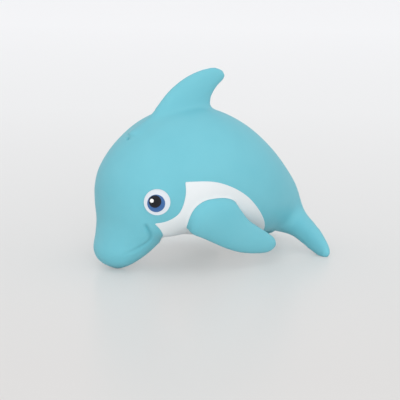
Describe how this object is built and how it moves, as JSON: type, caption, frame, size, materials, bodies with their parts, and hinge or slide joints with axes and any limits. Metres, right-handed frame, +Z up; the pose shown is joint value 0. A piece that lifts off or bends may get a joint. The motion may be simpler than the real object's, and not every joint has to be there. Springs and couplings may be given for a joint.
{
  "type": "squeaky bath toy",
  "caption": "Hollow soft vinyl dolphin figure that stands on its beak and tail flukes, with painted eyes and belly and a reed squeaker snapped into its underside.",
  "frame": {"origin": "on the table, under the middle of the toy's bounding box", "axes": "+X from the head to the tail, +Y to the toy's right side, +Z up; the figure mirrors in the XZ plane"},
  "size_m": [0.0944, 0.057, 0.0762],
  "materials": {
    "vinyl": "matte",
    "white_paint": "matte",
    "iris_paint": "satin",
    "pupil_paint": "satin",
    "squeaker_plastic": "satin",
    "reed_film": "satin"
  },
  "bodies": {
    "toy": {"skin": "vinyl", "belly_paint": "white_paint", "left_eye_white": "white_paint", "left_iris": "iris_paint", "left_pupil": "pupil_paint", "left_glint": "white_paint", "right_eye_white": "white_paint", "right_iris": "iris_paint", "right_pupil": "pupil_paint", "right_glint": "white_paint", "squeaker_cup": "squeaker_plastic", "reed_block": "squeaker_plastic", "reed_wedge": "squeaker_plastic"},
    "reed_tongue": {"reed": "reed_film"}
  },
  "joints": [
    {"name": "reed_flex", "type": "hinge", "parent": "toy", "child": "reed_tongue", "pos_m": [0.00576, 0, 0.01409], "axis": [0, -1, 0], "range_deg": [-3, 10], "stiffness_Nm_per_rad": 0.003, "deforming": ["reed"]}
  ]
}
